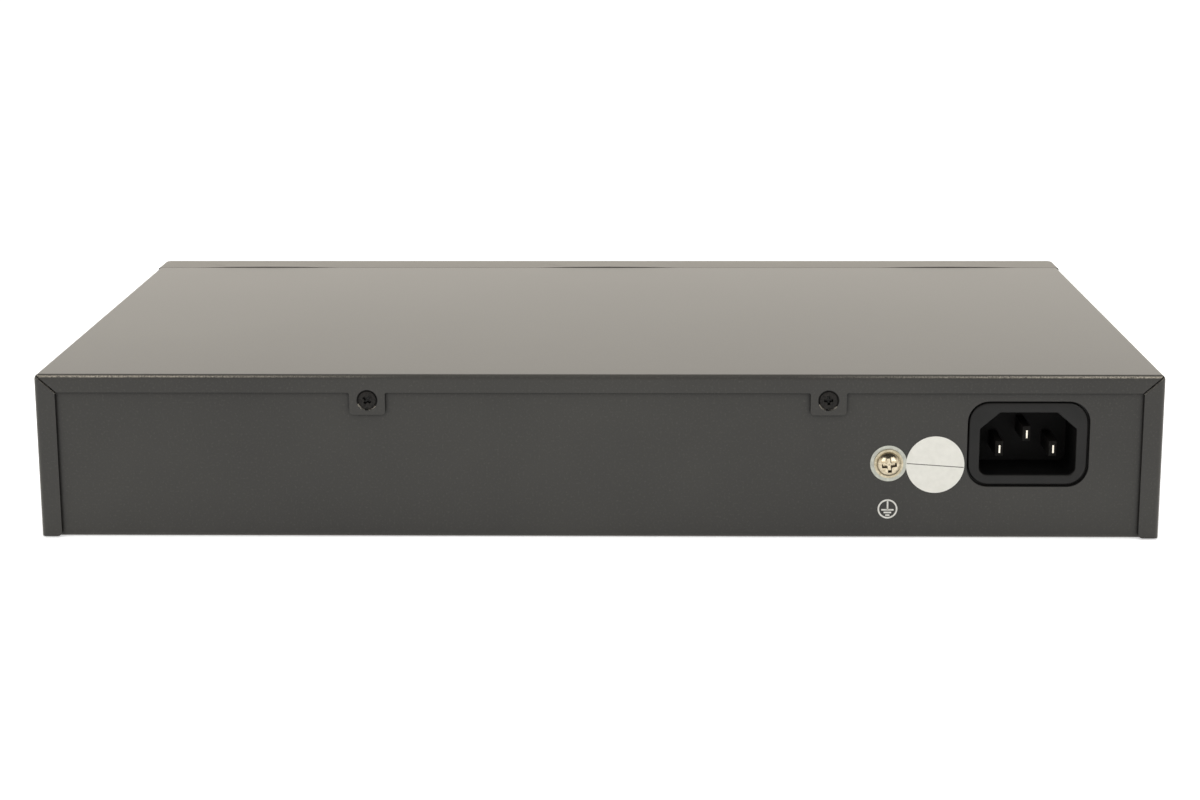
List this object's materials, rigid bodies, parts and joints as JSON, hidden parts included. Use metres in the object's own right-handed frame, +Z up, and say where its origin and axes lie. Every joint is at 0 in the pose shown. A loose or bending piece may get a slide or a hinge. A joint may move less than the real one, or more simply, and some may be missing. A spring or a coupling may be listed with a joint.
{
  "type": "ethernet switch",
  "caption": "Flat desktop network switch in a folded steel case, with jacks and lamps in the front bezel and a mains inlet and ground screw at the rear.",
  "frame": {"origin": "middle of the underside, between the outer faces of the bezel and the cover", "axes": "+X to the right as seen from the front, -Y out of the front bezel, +Y out of the rear wall, +Z up"},
  "size_m": [0.2942, 0.1814, 0.0444],
  "materials": {
    "case_paint": "fine powder coat, satin",
    "bezel_plastic": "fine moulded texture",
    "black_plastic": "moulded, satin",
    "bright_steel": "zinc plated",
    "warm_nickel": "nickel plated, satin",
    "black_steel": "blackened",
    "shield_metal": "tin plated",
    "blade_metal": "nickel plated",
    "contact_gold": "gold plated",
    "sticker_paper": "matt, unprinted",
    "board_laminate": "solder resist",
    "clear_film": "thin translucent sheet",
    "chip_resin": "moulded",
    "ferrite": "sintered, dull",
    "copper_wire": "enamelled",
    "winding_tape": "tape wrapped",
    "film_case": "moulded box",
    "can_sleeve": "shrink sleeve",
    "can_metal": "bare",
    "sink_metal": "extruded",
    "disc_coating": "dipped",
    "white_nylon": "moulded",
    "red_wire": "insulated wire",
    "black_wire": "insulated wire",
    "green_wire": "insulated wire",
    "clear_guide": "clear moulding",
    "lamp_face": "lamp lens"
  },
  "bodies": {
    "root": {"base_tray": "case_paint", "top_cover": "case_paint", "front_bezel": "bezel_plastic", "rear_cover_screws": "black_steel", "ground_screw": "warm_nickel", "ground_washer": "warm_nickel", "earth_ring_lug": "bright_steel", "ground_nut": "bright_steel", "inspection_sticker": "sticker_paper", "inlet_body": "black_plastic", "inlet_line_blade": "blade_metal", "inlet_neutral_blade": "blade_metal", "inlet_earth_blade": "blade_metal", "main_board": "board_laminate", "power_board": "board_laminate", "insulating_film": "clear_film", "board_standoffs": "bright_steel", "board_screws": "bright_steel", "left_jack_housing": "black_plastic", "right_jack_housing": "black_plastic", "left_jack_shield": "shield_metal", "right_jack_shield": "shield_metal", "left_jack_contacts": "contact_gold", "right_jack_contacts": "contact_gold", "bulk_capacitor": "can_sleeve", "choke_core": "ferrite", "choke_coils": "copper_wire", "film_capacitor": "film_case", "fuse": "chip_resin", "primary_heatsink": "sink_metal", "switching_transistor": "chip_resin", "bridge_rectifier": "chip_resin", "transformer_core": "ferrite", "transformer_bobbin": "black_plastic", "transformer_winding": "winding_tape", "safety_capacitor": "disc_coating", "optical_coupler": "chip_resin", "surge_absorber": "disc_coating", "output_inductor": "chip_resin", "output_capacitors": "can_sleeve", "output_heatsink": "sink_metal", "output_rectifier": "chip_resin", "output_header": "white_nylon", "output_plug": "white_nylon", "supply_header": "white_nylon", "supply_plug": "white_nylon", "supply_wire_positive": "red_wire", "supply_wire_return": "black_wire", "earth_wire": "green_wire", "port_transformers": "chip_resin", "switch_chip": "chip_resin", "switch_heatsink": "sink_metal", "port_chips": "chip_resin", "memory_chip": "chip_resin", "crystals": "can_metal", "board_capacitors": "can_metal", "board_inductors": "ferrite", "light_guide": "clear_guide", "lamp_chips": "lamp_face"}
  },
  "joints": []
}
